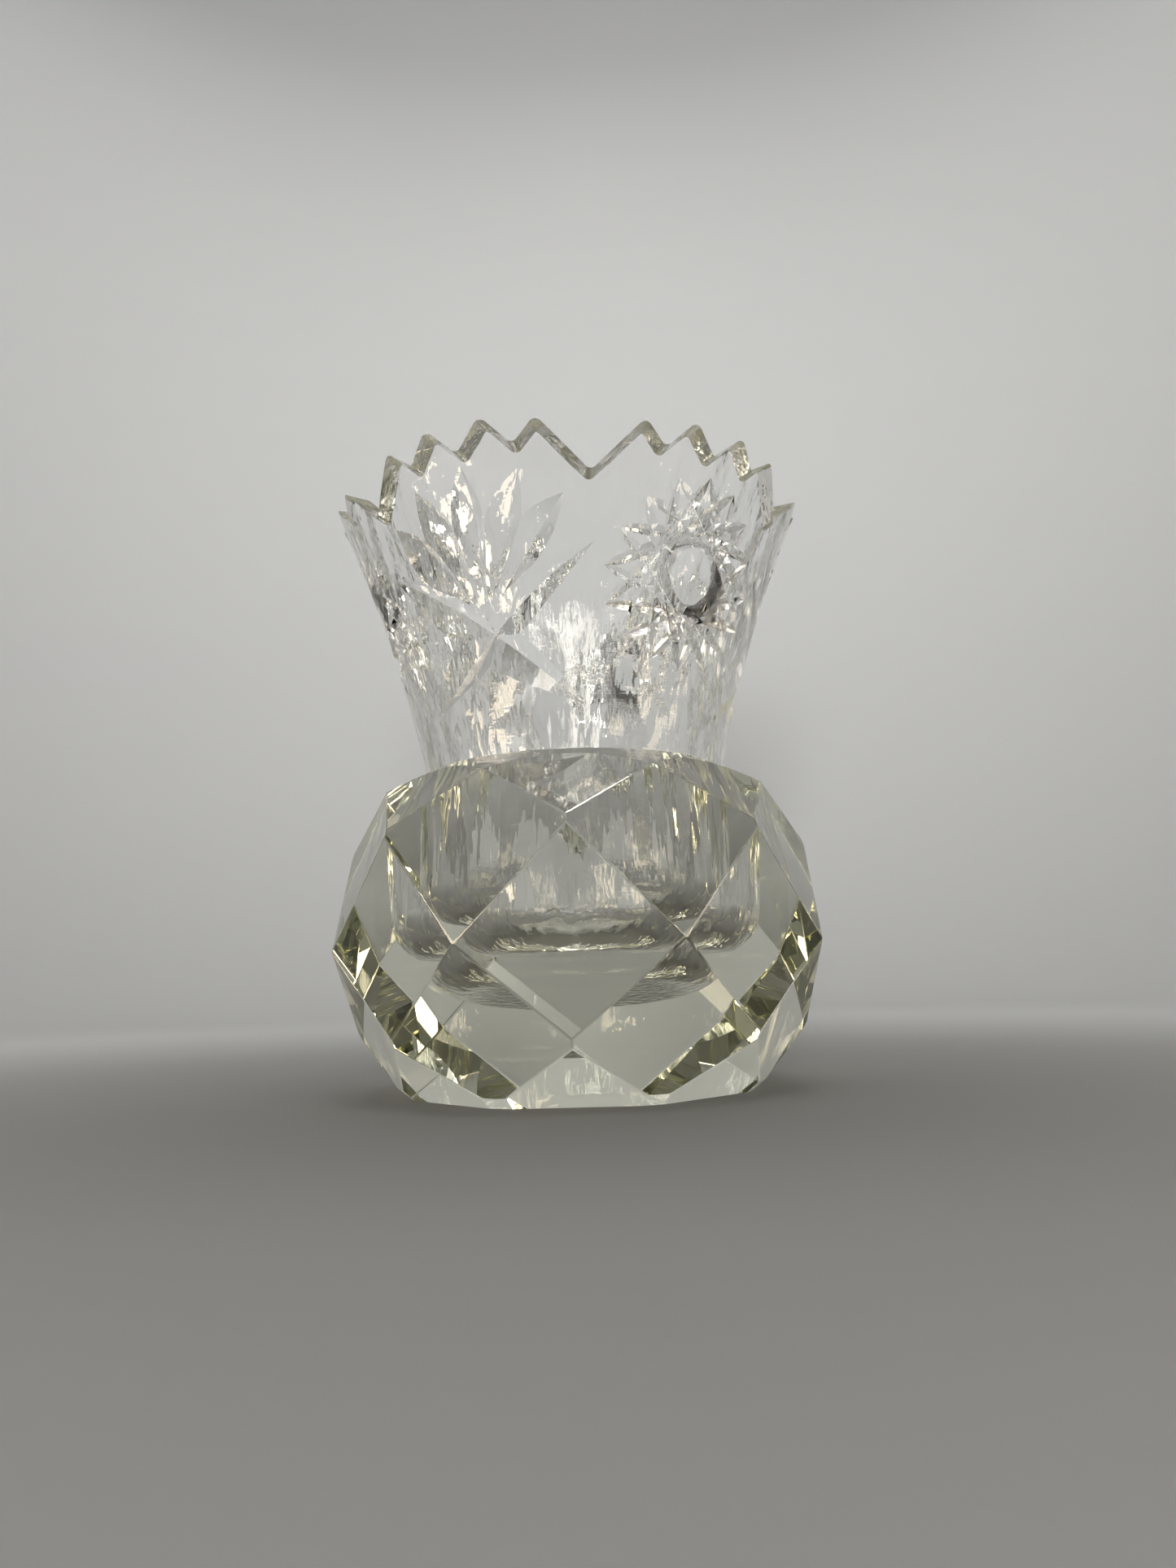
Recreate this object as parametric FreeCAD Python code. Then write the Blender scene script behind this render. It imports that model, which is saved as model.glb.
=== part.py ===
import FreeCAD, Part
import math
import os

# A clear glass dish for small picks and sticks, or for a little liquid: a pressed,
# flared cup with a toothed rim stands on a thick block cut with flat facets. One
# round well runs from the rim down through the cup and into the block.
# Millimetres, +Z up. The origin is the middle of the face that the block rests on.
# -Y is the front: one middle facet of the block faces it.

V = FreeCAD.Vector

# Cut block: heights are above the resting face
BLOCK_HEIGHT = 31.6        # up to the ring where the cup stands
GIRDLE_HEIGHT = 13.9       # the widest ring of corners
GIRDLE_RADIUS = 25.0
FACETS = 8                 # facets in each ring
MID_TOP_DROP = 7.9         # top corner of a middle facet, below the block's top
MID_TOP_RADIUS = 23.55
MID_BOTTOM_HEIGHT = 6.0    # bottom corner of a middle facet
EDGE_LENGTH = 0.75         # short upright edge between a middle facet and a triangle
SHOULDER_LEDGE = 0.8       # top triangles miss the cup's foot by this much
SHOULDER_SLOPE = 2.0       # radius lost per millimetre on the polished shoulder
FOOT_RADIUS = 17.3         # resting face
FOOT_TRIANGLE_INSET = 0.9  # bottom triangles cut this far inside the resting face
FOOT_BEVEL_SLOPE = 1.2     # radius gained per millimetre on the bevel round the foot

# Cup: heights are above the ring where it stands
CUP_HEIGHT = 28.6          # to the tallest teeth
NECK_RADIUS = 15.4
CUP_MID_HEIGHT = 13.9      # the outline is one arc through neck, middle and rim
CUP_MID_RADIUS = 19.1
RIM_RADIUS = 24.8
RIM_WALL = 2.3
MID_WALL = 2.7
NECK_WALL = 2.5

# Well inside the block
WELL_FLOOR = 13.5          # glass under the well
WELL_TAPER = 0.7           # radius lost from the neck to the floor's corner
WELL_CORNER = 4.5          # radius of the corner round the floor

# Rim teeth: the ring repeats in sectors, parted by the deep notches
SECTORS = 6
CUP_TURN = 7.3             # from the front to the first deep notch, degrees
TOOTH_STEP = 13.0          # between the shallow notches of one sector, degrees
SHALLOW_NOTCH = 2.6        # depth below the tallest teeth
DEEP_NOTCH = 5.0
SHALLOW_HALF_ANGLE = 46.0  # from upright to each flank, degrees
DEEP_HALF_ANGLE = 48.0


def around(solid, degrees):
    """The solid turned about the upright axis."""
    turned = solid.copy()
    turned.rotate(V(0, 0, 0), V(0, 0, 1), degrees)
    return turned


def spun(edges):
    """A solid of revolution from edges that close in the XZ plane."""
    return Part.Face(Part.Wire(edges)).revolve(V(0, 0, 0), V(0, 0, 1), 360)


def at(radius, height):
    """A point of an outline, in the XZ plane."""
    return V(radius, 0, height)


def line(start, end):
    return Part.LineSegment(start, end).toShape()


def arc(start, middle, end):
    return Part.Arc(start, middle, end).toShape()


class Facet:
    """A flat cut whose distance from the axis changes evenly with height."""

    def __init__(self, low, high):
        self.slope = (high[0] - low[0]) / (high[1] - low[1])
        self.at_zero = low[0] - self.slope * low[1]

    def distance(self, height):
        return self.at_zero + self.slope * height

    def cutter(self, azimuth):
        """A slab that covers everything outside the facet facing azimuth from the front."""
        reach = 4 * GIRDLE_RADIUS
        bottom, top = -reach, BLOCK_HEIGHT + reach
        section = Part.makePolygon([
            V(-reach, -self.distance(bottom), bottom),
            V(-reach, -self.distance(top), top),
            V(-reach, -self.distance(top) - 4 * reach, top),
            V(-reach, -self.distance(bottom) - 4 * reach, bottom),
            V(-reach, -self.distance(bottom), bottom),
        ])
        return around(Part.Face(section).extrude(V(2 * reach, 0, 0)), azimuth)


def block_facets():
    """Each ring's facet, and whether it faces the front or sits half a step round."""
    half = math.cos(math.pi / FACETS)
    mid_top = BLOCK_HEIGHT - MID_TOP_DROP
    girdle = (GIRDLE_RADIUS, GIRDLE_HEIGHT)
    middle = Facet((GIRDLE_RADIUS * half, GIRDLE_HEIGHT), (MID_TOP_RADIUS, mid_top))
    upper = Facet(girdle, (MID_TOP_RADIUS * half, mid_top))
    lower = Facet((middle.distance(MID_BOTTOM_HEIGHT) * half, MID_BOTTOM_HEIGHT), girdle)
    top_corner = mid_top + EDGE_LENGTH
    top_triangle = Facet(
        (upper.distance(top_corner) / half, top_corner),
        (NECK_RADIUS + SHOULDER_LEDGE, BLOCK_HEIGHT),
    )
    foot_corner = MID_BOTTOM_HEIGHT - EDGE_LENGTH
    foot_triangle = Facet(
        (FOOT_RADIUS - FOOT_TRIANGLE_INSET, 0),
        (lower.distance(foot_corner) / half, foot_corner),
    )
    return [(middle, 0), (top_triangle, 0), (foot_triangle, 0), (upper, 0.5), (lower, 0.5)]


def block_blank():
    """The pressed blank before cutting: a foot bevel and a shoulder up to the cup's ring."""
    wide = 1.2 * GIRDLE_RADIUS
    bevel_top = (wide - FOOT_RADIUS) / FOOT_BEVEL_SLOPE
    shoulder = BLOCK_HEIGHT - (wide - NECK_RADIUS) / SHOULDER_SLOPE
    outline = [at(0, 0), at(FOOT_RADIUS, 0), at(wide, bevel_top), at(wide, shoulder),
               at(NECK_RADIUS, BLOCK_HEIGHT), at(0, BLOCK_HEIGHT)]
    return spun([line(a, b) for a, b in zip(outline, outline[1:] + outline[:1])])


def well_in_block():
    """The part of the well that lies in the block, up to its top face."""
    mouth = NECK_RADIUS - NECK_WALL
    side = mouth - WELL_TAPER
    corner_top = WELL_FLOOR + WELL_CORNER
    bend = WELL_CORNER * math.cos(math.radians(45))
    return spun([
        line(at(0, BLOCK_HEIGHT), at(mouth, BLOCK_HEIGHT)),
        line(at(mouth, BLOCK_HEIGHT), at(side, corner_top)),
        arc(at(side, corner_top),
            at(side - WELL_CORNER + bend, corner_top - bend),
            at(side - WELL_CORNER, WELL_FLOOR)),
        line(at(side - WELL_CORNER, WELL_FLOOR), at(0, WELL_FLOOR)),
        line(at(0, WELL_FLOOR), at(0, BLOCK_HEIGHT)),
    ])


def make_block():
    step = 360 / FACETS
    block = block_blank()
    for facet, offset in block_facets():
        for number in range(FACETS):
            block = block.cut(facet.cutter((number + offset) * step))
    return block.cut(well_in_block())


def notch(depth, half_angle, azimuth):
    """A V notch through the wall, facing azimuth from the front."""
    rim = BLOCK_HEIGHT + CUP_HEIGHT
    overcut = CUP_HEIGHT
    half_width = (depth + overcut) * math.tan(math.radians(half_angle))
    profile = Part.makePolygon([
        V(0, 0, rim - depth),
        V(half_width, 0, rim + overcut),
        V(-half_width, 0, rim + overcut),
        V(0, 0, rim - depth),
    ])
    return around(Part.Face(profile).extrude(V(0, -2 * RIM_RADIUS, 0)), azimuth)


def make_cup():
    seat = BLOCK_HEIGHT
    middle = seat + CUP_MID_HEIGHT
    rim = seat + CUP_HEIGHT
    shell = spun([
        line(at(NECK_RADIUS - NECK_WALL, seat), at(NECK_RADIUS, seat)),
        arc(at(NECK_RADIUS, seat), at(CUP_MID_RADIUS, middle), at(RIM_RADIUS, rim)),
        line(at(RIM_RADIUS, rim), at(RIM_RADIUS - RIM_WALL, rim)),
        arc(at(RIM_RADIUS - RIM_WALL, rim),
            at(CUP_MID_RADIUS - MID_WALL, middle),
            at(NECK_RADIUS - NECK_WALL, seat)),
    ])
    cutters = []
    for number in range(SECTORS):
        parting = CUP_TURN + number * 360 / SECTORS
        cutters.append(notch(DEEP_NOTCH, DEEP_HALF_ANGLE, parting))
        for place in (-1, 0, 1):
            azimuth = parting + 180 / SECTORS + place * TOOTH_STEP
            cutters.append(notch(SHALLOW_NOTCH, SHALLOW_HALF_ANGLE, azimuth))
    return shell.cut(cutters)


os.makedirs("parts", exist_ok=True)
for name, shape in {"faceted_base": make_block(), "cup": make_cup()}.items():
    shape.exportStep(os.path.join("parts", name + ".step"))
    box = shape.optimalBoundingBox(False)
    print(name, "valid", shape.isValid(), "solids", len(shape.Solids),
          "volume", round(shape.Volume), "box", round(box.XLength, 2),
          round(box.YLength, 2), round(box.ZMin, 2), round(box.ZMax, 2))
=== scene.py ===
import math

import bmesh
import bpy
from mathutils import Matrix, Vector, noise


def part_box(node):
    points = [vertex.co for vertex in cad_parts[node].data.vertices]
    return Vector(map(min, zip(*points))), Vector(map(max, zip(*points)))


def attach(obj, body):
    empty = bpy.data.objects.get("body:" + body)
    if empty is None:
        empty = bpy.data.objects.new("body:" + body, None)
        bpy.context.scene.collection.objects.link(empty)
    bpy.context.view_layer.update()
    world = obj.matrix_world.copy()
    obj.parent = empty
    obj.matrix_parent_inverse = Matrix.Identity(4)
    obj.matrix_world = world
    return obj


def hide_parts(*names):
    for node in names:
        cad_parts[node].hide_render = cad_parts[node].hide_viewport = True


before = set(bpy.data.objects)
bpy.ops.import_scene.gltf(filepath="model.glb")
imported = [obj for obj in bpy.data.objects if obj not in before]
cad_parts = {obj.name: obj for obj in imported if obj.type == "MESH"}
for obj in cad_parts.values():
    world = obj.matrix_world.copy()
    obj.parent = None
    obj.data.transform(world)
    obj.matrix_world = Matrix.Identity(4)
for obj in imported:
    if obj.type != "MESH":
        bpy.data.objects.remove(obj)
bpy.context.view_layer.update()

# ---- Camera --------------------------------------------------------------------------
# It stands close in front of the dish, level with the block, and looks a little upwards,
# through the wide lens of a phone.

MM = 0.001
camera_place = Vector((4.0, -112.6, 10.9))
camera_turn = (100.1, 1.6, 1.64)

camera_data = bpy.data.cameras.new("camera")
camera_data.lens = 24.96
camera_data.sensor_width = 36
camera_data.clip_start = 0.005
camera = bpy.data.objects.new("camera", camera_data)
camera.location = camera_place * MM
camera.rotation_euler = [math.radians(angle) for angle in camera_turn]
bpy.context.scene.collection.objects.link(camera)
bpy.context.scene.camera = camera

# ---- Glass blank ---------------------------------------------------------------------
# The dish starts as one solid glass shape: a pressed, flared cup that rises from a thick
# block. All of the making is in millimetres, and the finished mesh is scaled to metres.

SPIN_STEPS = 256
CUP_STEPS = 24
block_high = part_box("faceted_base")[1] / MM
cup_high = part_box("cup")[1] / MM
seat = block_high.z
rim = cup_high.z
foot_radius = 17.3
foot_slope = 1.2
blank_radius = 30.0
neck_radius = 15.4
shoulder_slope = 2.0
cup_mid = (19.1, seat + 13.9)
rim_radius = cup_high.x


def arc_points(start, middle, end, count):
    """Points of the arc through three (radius, height) points, ends included."""
    (ax, ay), (bx, by), (cx, cy) = start, middle, end
    bend = 2 * (ax * (by - cy) + bx * (cy - ay) + cx * (ay - by))
    a2 = ax * ax + ay * ay
    b2 = bx * bx + by * by
    c2 = cx * cx + cy * cy
    x = (a2 * (by - cy) + b2 * (cy - ay) + c2 * (ay - by)) / bend
    y = (a2 * (cx - bx) + b2 * (ax - cx) + c2 * (bx - ax)) / bend
    radius = math.hypot(ax - x, ay - y)
    first = math.atan2(ay - y, ax - x)
    turn = math.remainder(math.atan2(cy - y, cx - x) - first, math.tau)
    return [(x + radius * math.cos(first + turn * i / count),
             y + radius * math.sin(first + turn * i / count)) for i in range(count + 1)]


def spun(outline):
    """A closed, smooth bmesh: (radius, height) points spun round the upright axis."""
    bm = bmesh.new()
    verts = [bm.verts.new((radius, 0, height)) for radius, height in outline]
    edges = [bm.edges.new(pair) for pair in zip(verts, verts[1:])]
    bmesh.ops.spin(bm, geom=verts + edges, cent=(0, 0, 0), axis=(0, 0, 1), angle=math.tau,
                   steps=SPIN_STEPS, use_merge=True)
    bmesh.ops.remove_doubles(bm, verts=bm.verts, dist=1e-5)
    bmesh.ops.dissolve_degenerate(bm, edges=bm.edges, dist=1e-6)
    bmesh.ops.recalc_face_normals(bm, faces=bm.faces)
    for face in bm.faces:
        face.smooth = True
    return bm


cup_wall = arc_points((neck_radius, seat), cup_mid, (rim_radius, rim), CUP_STEPS)
blank = spun([
    (0, 0),
    (foot_radius, 0),
    (blank_radius, (blank_radius - foot_radius) / foot_slope),
    (blank_radius, seat - (blank_radius - neck_radius) / shoulder_slope),
] + cup_wall + [(0, rim)])

# ---- Facets of the block -------------------------------------------------------------
# The block is ground flat in five rings of eight: diamonds round the middle, above it and
# below it, and triangles at the shoulder and the foot. The wheel leaves soft, fine edges.

FACETS = 8
corner_to_flat = math.cos(math.pi / FACETS)
girdle = (25.0, 13.9)
mid_top = (block_high.x, seat - 7.9)
mid_bottom_height = 6.0
upright_edge = 0.75
shoulder_ledge = 0.8
foot_inset = 0.9
polished_edge = 0.13
least_edge_angle = math.radians(6)


def through(low, high):
    """A facet's distance from the axis as a function of height, from two places on it."""
    slope = (high[0] - low[0]) / (high[1] - low[1])
    return lambda height: low[0] + slope * (height - low[1])


middle = through((girdle[0] * corner_to_flat, girdle[1]), mid_top)
upper = through(girdle, (mid_top[0] * corner_to_flat, mid_top[1]))
lower = through((middle(mid_bottom_height) * corner_to_flat, mid_bottom_height), girdle)
top_corner = mid_top[1] + upright_edge
shoulder = through((upper(top_corner) / corner_to_flat, top_corner),
                   (neck_radius + shoulder_ledge, seat))
foot_corner = mid_bottom_height - upright_edge
foot = through((foot_radius - foot_inset, 0),
               (lower(foot_corner) / corner_to_flat, foot_corner))


def grind(bm, distance, azimuth):
    """Cuts one flat facet, facing azimuth from the front, and closes the cut.

    A ground face keeps material index 1 until the dish is finished, which marks it."""
    outward = Vector((math.sin(azimuth), -math.cos(azimuth), distance(0) - distance(1)))
    place = Vector((math.sin(azimuth), -math.cos(azimuth), 0)) * distance(0)
    faces = [f for f in bm.faces if f.calc_center_median().z < seat]
    geom = list(dict.fromkeys(part for f in faces for part in (*f.verts, *f.edges, f)))
    bmesh.ops.bisect_plane(bm, geom=geom, dist=1e-6, plane_co=place, plane_no=outward,
                           clear_outer=True)
    open_edges = [e for e in bm.edges if e.is_boundary]
    for face in bmesh.ops.contextual_create(bm, geom=open_edges)["faces"]:
        face.smooth = False
        face.material_index = 1


for distance, offset in ((middle, 0), (shoulder, 0), (foot, 0), (upper, 0.5), (lower, 0.5)):
    for number in range(FACETS):
        grind(blank, distance, math.tau * (number + offset) / FACETS)
bmesh.ops.recalc_face_normals(blank, faces=blank.faces)
ground_edges = [e for e in blank.edges
                if all(f.material_index == 1 for f in e.link_faces)
                and e.calc_face_angle(0) > least_edge_angle]
rounded = bmesh.ops.bevel(blank, geom=ground_edges, offset=polished_edge,
                          offset_type="OFFSET", segments=2, profile=0.5, affect="EDGES",
                          material=-1)
for face in rounded["faces"]:
    face.material_index = 0


def as_object(bm, name):
    """A finished bmesh as an object in the scene."""
    mesh = bpy.data.meshes.new(name)
    bm.to_mesh(mesh)
    bm.free()
    piece = bpy.data.objects.new(name, mesh)
    bpy.context.scene.collection.objects.link(piece)
    return piece


dish = as_object(blank, "glass_dish")

# ---- Well ----------------------------------------------------------------------------
# The plunger leaves one smooth well from the rim down into the block. Its skin is not
# polished, so it keeps long, shallow waves that run up the wall.

FLOOR_STEPS = 12
CORNER_STEPS = 14
SIDE_STEPS = 20
wall_at_neck = 2.5
wall_at_mid = 2.7
wall_at_rim = 2.3
well_floor = 13.5
well_corner = 4.5
well_taper = 0.7
past_rim = 3.0
near_axis = 0.5
ripple_depth = 0.16
long_waves = (0.6, 0.13, 0)
fine_waves = (1.6, 0.22, 40)
fine_share = 0.55

well_mouth = neck_radius - wall_at_neck
well_side = well_mouth - well_taper
corner_radius = well_side - well_corner
corner_height = well_floor + well_corner
corner_45 = well_corner * math.sqrt(0.5)
rim_inner = (rim_radius - wall_at_rim, rim)


def straight(start, end, count):
    """Evenly spaced points from start to end, ends included."""
    return [(start[0] + (end[0] - start[0]) * i / count,
             start[1] + (end[1] - start[1]) * i / count) for i in range(count + 1)]


def wave(place, across, along, shift):
    """Noise from -1 to 1, with its rates across and along the height, and its start."""
    return noise.noise(Vector((place.x * across, place.y * across, place.z * along + shift)))


well_wall = arc_points((well_mouth, seat), (cup_mid[0] - wall_at_mid, cup_mid[1]),
                       rim_inner, 2 * CUP_STEPS)
flare = (rim_inner[0] - well_wall[-2][0]) / (rim_inner[1] - well_wall[-2][1])
well = spun(
    straight((0, well_floor), (corner_radius, well_floor), FLOOR_STEPS)[:-1]
    + arc_points((corner_radius, well_floor),
                 (corner_radius + corner_45, corner_height - corner_45),
                 (well_side, corner_height), CORNER_STEPS)[:-1]
    + straight((well_side, corner_height), (well_mouth, seat), SIDE_STEPS)[:-1]
    + well_wall
    + [(rim_inner[0] + flare * past_rim, rim + past_rim), (0, rim + past_rim)])
for vert in well.verts:
    outward = Vector((vert.co.x, vert.co.y, 0))
    if vert.co.z < rim and outward.length > near_axis:
        push = wave(vert.co, *long_waves) + fine_share * wave(vert.co, *fine_waves)
        vert.co += outward.normalized() * push * ripple_depth


def cut(piece, cutters):
    """Takes every cutter out of the piece, in turn, and removes the cutters."""
    for cutter in cutters:
        taken = piece.modifiers.new("cut", "BOOLEAN")
        taken.operation = "DIFFERENCE"
        taken.solver = "MANIFOLD"
        taken.object = cutter
    graph = bpy.context.evaluated_depsgraph_get()
    whole = bpy.data.meshes.new_from_object(piece.evaluated_get(graph))
    piece.modifiers.clear()
    piece.data = whole
    for cutter in cutters:
        bpy.data.objects.remove(cutter)


cut(dish, [as_object(well, "well_cutter")])

# ---- Teeth of the rim ----------------------------------------------------------------
# The rim is notched right through: six sectors of four teeth, parted by deeper notches.
# The tips and the valleys are rounded, as pressed glass leaves them.

SECTORS = 6
ROUND_STEPS = 6
cup_turn = 7.3
tooth_step = 13.0
notches = {"deep": (5.0, 48.0), "shallow": (2.6, 47.5)}     # depth, half angle in degrees
tip_round = 0.95
valley_round = 0.7
deep_reach = 5.05
side_reach = 2.35
shallow_reach = rim_radius * math.tan(math.radians(tooth_step / 2))
past_tip = 0.4
above_rim = 4.0


def flank(kind, reach):
    """One side of a notch as (across, height), from its valley to a tooth tip at reach."""
    depth, half_angle = notches[kind]
    slant = math.radians(half_angle)
    valley = rim - depth + valley_round / math.sin(slant)
    tip = rim - depth + reach / math.tan(slant) - tip_round / math.sin(slant)
    points = []
    for i in range(ROUND_STEPS + 1):
        turn = -math.pi / 2 + (math.pi / 2 - slant) * i / ROUND_STEPS
        points.append((valley_round * math.cos(turn), valley + valley_round * math.sin(turn)))
    for i in range(ROUND_STEPS + 1):
        turn = math.pi - slant - (math.pi / 2 - slant) * i / ROUND_STEPS
        points.append((reach + tip_round * math.cos(turn), tip + tip_round * math.sin(turn)))
    return points + [(reach + past_tip, points[-1][1]), (reach + past_tip, rim + above_rim)]


def notch(kind, azimuth, left_reach, right_reach):
    """A notch cutter that lies across the wall, facing azimuth from the front."""
    bm = bmesh.new()
    left = [(-x, z) for x, z in flank(kind, left_reach)]
    outline = left[:0:-1] + flank(kind, right_reach)
    wedge = bm.faces.new([bm.verts.new((x, 0, z)) for x, z in outline])
    pulled = bmesh.ops.extrude_face_region(bm, geom=[wedge])["geom"]
    ends = [part for part in pulled if isinstance(part, bmesh.types.BMVert)]
    bmesh.ops.translate(bm, verts=ends, vec=(0, -2 * rim_radius, 0))
    bmesh.ops.recalc_face_normals(bm, faces=bm.faces)
    bmesh.ops.rotate(bm, verts=bm.verts, cent=(0, 0, 0),
                     matrix=Matrix.Rotation(math.radians(azimuth), 3, "Z"))
    return as_object(bm, "notch_cutter")


notch_cutters = []
for number in range(SECTORS):
    parting = cup_turn + 360 * number / SECTORS
    centre = parting + 180 / SECTORS
    notch_cutters += [
        notch("deep", parting, deep_reach, deep_reach),
        notch("shallow", centre - tooth_step, side_reach, shallow_reach),
        notch("shallow", centre, shallow_reach, shallow_reach),
        notch("shallow", centre + tooth_step, shallow_reach, side_reach)]
cut(dish, notch_cutters)

# ---- Fans and crossed mitres ---------------------------------------------------------
# On every second sector the mould has five long leaves that fan upwards from one root,
# above two broad V cuts that cross. All are V grooves that follow the round wall.

STATIONS = 14
AHEAD = 0.01
LIFT = 0.6
leaf_root = 43.8
leaf_tips = ((-23.8, 53.5), (-13.6, 55.7), (0, 56.7), (13.6, 55.7), (23.8, 53.5))
root_spread = 0.06
leaf = {"half_width": 1.7, "flanks": (0.62, 0.88), "widest": 0.62}
mitre_foot = (28, 35.6)
mitre_head = (31, 49.5)
left_mitre = {"half_width": 2.3, "flanks": (0.42, 0.62), "widest": 0.5}
right_mitre = {"half_width": 2.3, "flanks": (0.5, 0.58), "widest": 0.5}


def on_wall(azimuth, height):
    """A point of the cup's outer wall and the wall's outward direction there."""
    low = max(i for i in range(len(cup_wall) - 1) if cup_wall[i][1] <= max(height, seat))
    (r1, z1), (r2, z2) = cup_wall[low], cup_wall[low + 1]
    radius = r1 + (r2 - r1) * (height - z1) / (z2 - z1)
    turn = math.radians(azimuth)
    outward = Vector((math.sin(turn) * (z2 - z1), -math.cos(turn) * (z2 - z1), r1 - r2))
    place = Vector((math.sin(turn) * radius, -math.cos(turn) * radius, height))
    return place, outward.normalized()


def groove(start, end, half_width, flanks, widest, fullness=1.0):
    """A V-shaped cutter along the wall from start to end, each (azimuth, height).

    flanks are the falls of its left and right sides, seen from outside with end upwards.
    widest is where along it the groove is widest, as a share of its length. A fullness
    under 1 keeps it wide for longer."""
    bm = bmesh.new()
    bmesh.ops.create_cone(bm, cap_ends=True, segments=3, radius1=1, radius2=1, depth=2)
    long_edges = [e for e in bm.edges if abs(e.verts[0].co.z - e.verts[1].co.z) > 1]
    bmesh.ops.subdivide_edges(bm, edges=long_edges, cuts=STATIONS - 1)
    power = math.log(0.5) / math.log(widest)

    def along_wall(share):
        return on_wall(start[0] + (end[0] - start[0]) * share,
                       start[1] + (end[1] - start[1]) * share)

    for vert in bm.verts:
        along = (vert.co.z + 1) / 2
        place, outward = along_wall(along)
        heading = along_wall(along + AHEAD)[0] - place
        right = heading.cross(outward).normalized()
        half = half_width * max(math.sin(math.pi * along ** power), 0) ** fullness
        depth = half * sum(flanks) / 2
        if vert.co.y > 0.5:
            vert.co = place - outward * depth
        else:
            side, fall = (1, flanks[1]) if vert.co.x > 0 else (-1, flanks[0])
            vert.co = place + outward * LIFT + right * side * (depth + LIFT) / fall
    bmesh.ops.recalc_face_normals(bm, faces=bm.faces)
    return as_object(bm, "groove_cutter")


def fan(centre):
    """The cutters of one fan of leaves and of the crossed mitres under it."""
    leaves = [groove((centre + turn * root_spread, leaf_root), (centre + turn, height), **leaf)
              for turn, height in leaf_tips]
    mitres = [groove((centre + mitre_foot[0], mitre_foot[1]),
                     (centre - mitre_head[0], mitre_head[1]), **left_mitre),
              groove((centre - mitre_foot[0], mitre_foot[1]),
                     (centre + mitre_head[0], mitre_head[1]), **right_mitre)]
    return leaves + mitres


# ---- Hobstars ------------------------------------------------------------------------
# The sectors between carry a sixteen-pointed star of crossing V grooves. The mould leaves
# an oval button in its middle, with one shallow ring round it.

STAR_POINTS = 16
RING_STEPS = 48
star_height = 47.5
star_radius = 9.0
star_skip = 6
chord = {"half_width": 0.66, "flanks": (0.85, 0.85), "widest": 0.5, "fullness": 0.35}
button_radius = 2.6
ring_radius = 3.45
ring_depth = 0.2
wall_rise = 0.95
least_seam_angle = math.radians(16)


def beside(centre, across, up):
    """The (azimuth, height) that far across and up the wall from a star's centre."""
    place = on_wall(centre, star_height + up)[0]
    radius = math.hypot(place.x, place.y)
    return centre + math.degrees(across / radius), star_height + up * wall_rise


def button_ring(centre):
    """A cutter that runs round the button, and leaves it a gentle slope to the wall."""
    bm = bmesh.new()
    slope = ring_depth / (ring_radius - button_radius)
    section = [bm.verts.new(co) for co in (
        (ring_radius, 0, -ring_depth),
        (ring_radius + ring_depth + LIFT, 0, LIFT),
        (button_radius - LIFT / slope, 0, LIFT))]
    edges = [bm.edges.new((section[i], section[i - 1])) for i in range(3)]
    bmesh.ops.spin(bm, geom=section + edges, cent=(0, 0, 0), axis=(0, 0, 1), angle=math.tau,
                   steps=RING_STEPS, use_merge=True)
    for vert in bm.verts:
        place, outward = on_wall(*beside(centre, vert.co.x, vert.co.y))
        vert.co = place + outward * vert.co.z
    bmesh.ops.recalc_face_normals(bm, faces=bm.faces)
    return as_object(bm, "ring_cutter")


def hobstar(centre):
    """The cutters of one star: its chords, each from point to point past the button."""
    def point(number):
        turn = math.tau * number / STAR_POINTS
        return beside(centre, star_radius * math.sin(turn), star_radius * math.cos(turn))
    chords = [groove(point(number), point(number + star_skip), **chord)
              for number in range(STAR_POINTS)]
    return chords + [button_ring(centre)]


pattern = []
for number in range(SECTORS):
    centre = cup_turn - 180 / SECTORS + 360 * number / SECTORS
    pattern += fan(centre) if number % 2 == 0 else hobstar(centre)
cut(dish, pattern)
dish.data.transform(Matrix.Scale(MM, 4))
dish.data.set_sharp_from_angle(angle=least_seam_angle)
for face in dish.data.polygons:
    face.use_smooth = face.material_index == 0
    face.material_index = 0

# ---- Glass ---------------------------------------------------------------------------
# Soda glass, faintly olive where it is thick; the olive is deepened as painted shade for the
# shadow behind the block. The ground facets are polished. The pressed skin of the cup and the
# well keeps the mould's grain: fine rings and soft orange peel.

glass_index = 1.52
# Partly the glass's own olive and partly painted shade: the absorption also darkens the thick
# block.
olive_and_shade = (0.67, 0.675, 0.53, 1)
olive_and_shade_density = 20
polished_roughness = 0.004
pressed_roughness = 0.028
neck_level = 0.0316
foot_edge = (0.001, 0.002)
neck_edge = (0.0312, 0.0318)
well_edge = (0.0138, 0.0134)
mid_wall_at_neck = 0.01415
mid_wall_slope = 0.19
mid_wall_flare = 4.98
skin_depth = 0.00003
peel_share = 0.7
rings_share = 0.3
streaks_share = 5.0


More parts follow.
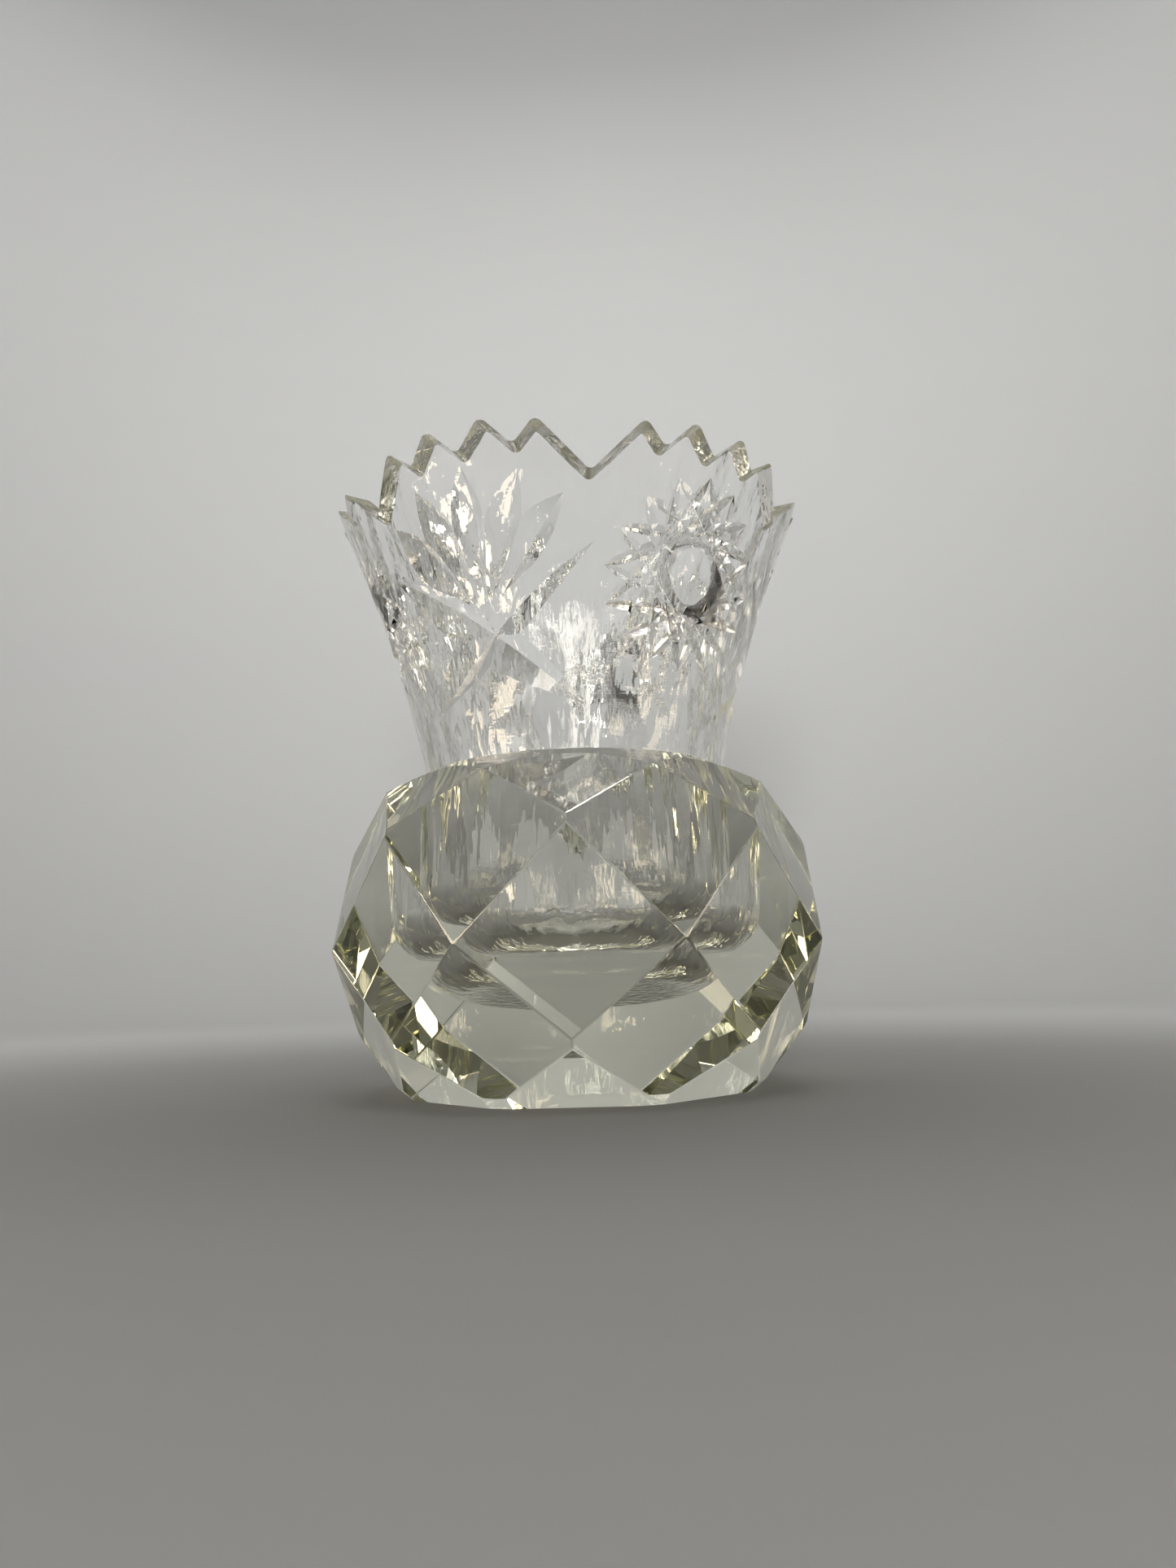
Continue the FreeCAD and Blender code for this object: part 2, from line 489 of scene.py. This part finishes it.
class Shade:
    """A socket of a material, so that sums of sockets can be written as sums."""

    def __init__(self, socket):
        self.socket = socket

    def node(self, kind, inputs, output=0, **settings):
        """Adds a node of any kind; inputs maps its sockets to values or other sockets."""
        tree = self.socket.id_data
        made = tree.nodes.new(kind)
        for name, value in settings.items():
            setattr(made, name, value)
        for name, value in inputs.items():
            if isinstance(value, Shade):
                tree.links.new(value.socket, made.inputs[name])
            else:
                made.inputs[name].default_value = value
        return Shade(made.outputs[output])

    def math(self, operation, first, second):
        return self.node("ShaderNodeMath", {0: first, 1: second}, operation=operation)

    def __add__(self, other):
        return self.math("ADD", self, other)

    def __radd__(self, other):
        return self.math("ADD", other, self)

    def __sub__(self, other):
        return self.math("SUBTRACT", self, other)

    def __rsub__(self, other):
        return self.math("SUBTRACT", other, self)

    def __mul__(self, other):
        return self.math("MULTIPLY", self, other)

    def __rmul__(self, other):
        return self.math("MULTIPLY", other, self)

    def at_least(self, other):
        return self.math("MAXIMUM", self, other)

    def above(self, other):
        return self.math("GREATER_THAN", self, other)

    def across(self, edge):
        """From 0 at the first value of an edge to 1 at its second."""
        return self.node("ShaderNodeMapRange",
                         {"Value": self, "From Min": edge[0], "From Max": edge[1]})

    def into(self, socket):
        self.socket.id_data.links.new(self.socket, socket)


def new_material(name):
    """A material with its shader and the object's own coordinates, in metres."""
    made = bpy.data.materials.new(name)
    made.use_nodes = True
    place = made.node_tree.nodes.new("ShaderNodeTexCoord")
    return made, made.node_tree.nodes["Principled BSDF"], Shade(place.outputs["Object"])


def noise_at(place, stretch, scale, roughness=0.5):
    """Noise from 0 to 1 at a place, with the place stretched along x, y and z first."""
    stretched = place.node("ShaderNodeMapping", {"Vector": place, "Scale": stretch})
    return place.node("ShaderNodeTexNoise", {"Vector": stretched, "Scale": scale,
                                             "Detail": 2.0, "Roughness": roughness})


glass, glass_shader, here = new_material("clear_glass")
glass_shader.inputs["Base Color"].default_value = (1, 1, 1, 1)
glass_shader.inputs["Transmission Weight"].default_value = 1
glass_shader.inputs["IOR"].default_value = glass_index
# The olive absorption also stands in, as painted shade, for the shadow behind the block.
tint_and_shade = glass.node_tree.nodes.new("ShaderNodeVolumeAbsorption")
tint_and_shade.inputs["Color"].default_value = olive_and_shade
tint_and_shade.inputs["Density"].default_value = olive_and_shade_density
Shade(tint_and_shade.outputs["Volume"]).into(glass.node_tree.nodes["Material Output"].inputs["Volume"])

# The skin is as pressed on all of the cup, and in the well down to its floor.
height = here.node("ShaderNodeSeparateXYZ", {0: here}, output=2)
level = here.node("ShaderNodeVectorMath", {0: here, 1: (1, 1, 0)}, operation="MULTIPLY")
radius = level.node("ShaderNodeVectorMath", {0: level}, output=1, operation="LENGTH")
above_foot = height.across(foot_edge)
pressed = height.across(neck_edge).at_least(radius.across(well_edge) * above_foot)
(pressed * pressed_roughness + polished_roughness).into(glass_shader.inputs["Roughness"])

# The plunger leaves upright streaks on the inner skin: nearer the axis than mid_wall.
up_cup = (height - neck_level).at_least(0.0)
mid_wall = up_cup * mid_wall_slope + up_cup * up_cup * mid_wall_flare + mid_wall_at_neck
inside = (mid_wall - radius).above(0.0) * above_foot
peel = noise_at(here, stretch=(1, 1, 0.45), scale=520)
rings = noise_at(here, stretch=(0.12, 0.12, 1), scale=2600, roughness=0.6)
streaks = noise_at(here, stretch=(1, 1, 0.16), scale=900, roughness=0.45)
grain = (peel * peel_share + rings * rings_share) * pressed + streaks * inside * streaks_share
skin = here.node("ShaderNodeBump", {"Strength": 1.0, "Distance": skin_depth, "Height": grain})
skin.into(glass_shader.inputs["Normal"])

dish.data.materials.clear()
dish.data.materials.append(glass)
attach(dish, "root")
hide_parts("cup", "faceted_base")

# ---- Floor and backdrop --------------------------------------------------------------
# The dish stands on a round sweep of matt paper that rises into a wall on every side. The
# paper's colour carries painted shade: darkest under and near the dish, standing in for its
# shadow, and pale where it rises.

SWEEP_STEPS = 96
BEND_STEPS = 12
paper_level = -0.02
bend_start = (250, paper_level)
bend_middle = (356, 44)
bend_end = (400, 150)
wall_top = (400, 700)
# Painted shade: between these distances from the dish the paper goes from the dark colour to
# the pale one.
painted_shade_from, painted_shade_to = 0.02, 0.2
paper_in_painted_shade = (0.16, 0.158, 0.151, 1)
pale_paper = (0.58, 0.58, 0.572, 1)
paper_roughness = 0.9

sweep = bmesh.new()
sweep_line = ([(0, paper_level)] + arc_points(bend_start, bend_middle, bend_end, BEND_STEPS)
              + [wall_top])
verts = [sweep.verts.new((distance, 0, height)) for distance, height in sweep_line]
edges = [sweep.edges.new(pair) for pair in zip(verts, verts[1:])]
bmesh.ops.spin(sweep, geom=verts + edges, cent=(0, 0, 0), axis=(0, 0, 1), angle=math.tau,
               steps=SWEEP_STEPS, use_merge=True)
bmesh.ops.remove_doubles(sweep, verts=sweep.verts, dist=1e-5)
for face in sweep.faces:
    face.smooth = True
bmesh.ops.scale(sweep, vec=(MM, MM, MM), verts=sweep.verts)
floor = as_object(sweep, "floor")

paper, paper_shader, there = new_material("paper_with_painted_shade")
from_dish = there.node("ShaderNodeVectorMath", {0: there}, output=1, operation="LENGTH")
# Painted shade for the dish's shadow: the paper is darker the nearer it lies to the dish.
painted_shade = there.node("ShaderNodeMapRange",
                   {"Value": from_dish, "From Min": painted_shade_from, "From Max": painted_shade_to},
                   interpolation_type="SMOOTHSTEP")
# Sockets 6 and 7 are the two colours that the node mixes.
there.node("ShaderNodeMix", {0: painted_shade, 6: paper_in_painted_shade, 7: pale_paper}, output=2,
           data_type="RGBA").into(paper_shader.inputs["Base Color"])
paper_shader.inputs["Roughness"].default_value = paper_roughness
floor.data.materials.append(paper)

# ---- Light ---------------------------------------------------------------------------
# A bright room: wide panels overhead, a cream one low at each side, and two warm ones that
# catch the edges. Each lamp lights only the glass or only the paper, so that the paper
# stays mid-grey while the glass is bright.

WHITE = (1, 1, 1)
WARM = (1, 0.95, 0.84)
CREAM = (1, 0.86, 0.66)
BOUNCES = 32

world = bpy.data.worlds.new("world")
bpy.context.scene.world = world
world.use_nodes = True
world.node_tree.nodes["Background"].inputs["Color"].default_value = (0.5, 0.5, 0.5, 1)
world.node_tree.nodes["Background"].inputs["Strength"].default_value = 0.5


def lamp(name, place, look, size, power, colour, sees, spread=180):
    """A soft panel that the camera doesn't see, at place, facing look, in metres and watts."""
    data = bpy.data.lights.new(name, "AREA")
    data.shape = "RECTANGLE"
    data.size, data.size_y = size
    data.energy = power
    data.color = colour
    data.spread = math.radians(spread)
    lit = bpy.data.objects.new(name, data)
    lit.location = Vector(place)
    lit.rotation_euler = (Vector(look) - lit.location).to_track_quat("-Z", "Y").to_euler()
    lit.visible_camera = False
    lit.visible_diffuse = sees == "paper"
    lit.visible_glossy = sees == "glass"
    lit.visible_transmission = sees == "glass"
    bpy.context.scene.collection.objects.link(lit)


lamp("floor light", (0, 0, 0.5), (0, 0, 0), (0.5, 0.5), 0.75, WHITE, "paper")
lamp("wash", (0, -0.18, 0.035), (0, 0.17, 0.28), (0.03, 0.03), 0.74, WHITE, "paper", spread=100)
lamp("fill", (0, 0.12, 0.5), (0, -0.4, 0.15), (0.3, 0.3), 0.4, WHITE, "paper", spread=120)
lamp("overhead", (0, 0, 0.6), (0, 0, 0), (0.5, 0.5), 1.0, WHITE, "glass")
lamp("strip", (0, -0.22, 0.27), (0, 0, 0.05), (0.05, 0.3), 0.45, WARM, "glass")
lamp("spark", (0.065, -0.13, 0.5), (0, 0, 0.05), (0.1, 0.1), 1.5, WARM, "glass")
lamp("left", (-0.24, -0.18, 0.05), (0, 0, 0.03), (0.25, 0.12), 1.15, CREAM, "glass")
lamp("right", (0.24, -0.18, 0.05), (0, 0, 0.03), (0.25, 0.12), 0.6, CREAM, "glass")
bpy.context.scene.view_settings.view_transform = "Standard"

# Light is turned back many times between the facets before it leaves the block.
paths = bpy.context.scene.cycles
paths.max_bounces = BOUNCES
paths.glossy_bounces = BOUNCES
paths.transmission_bounces = BOUNCES
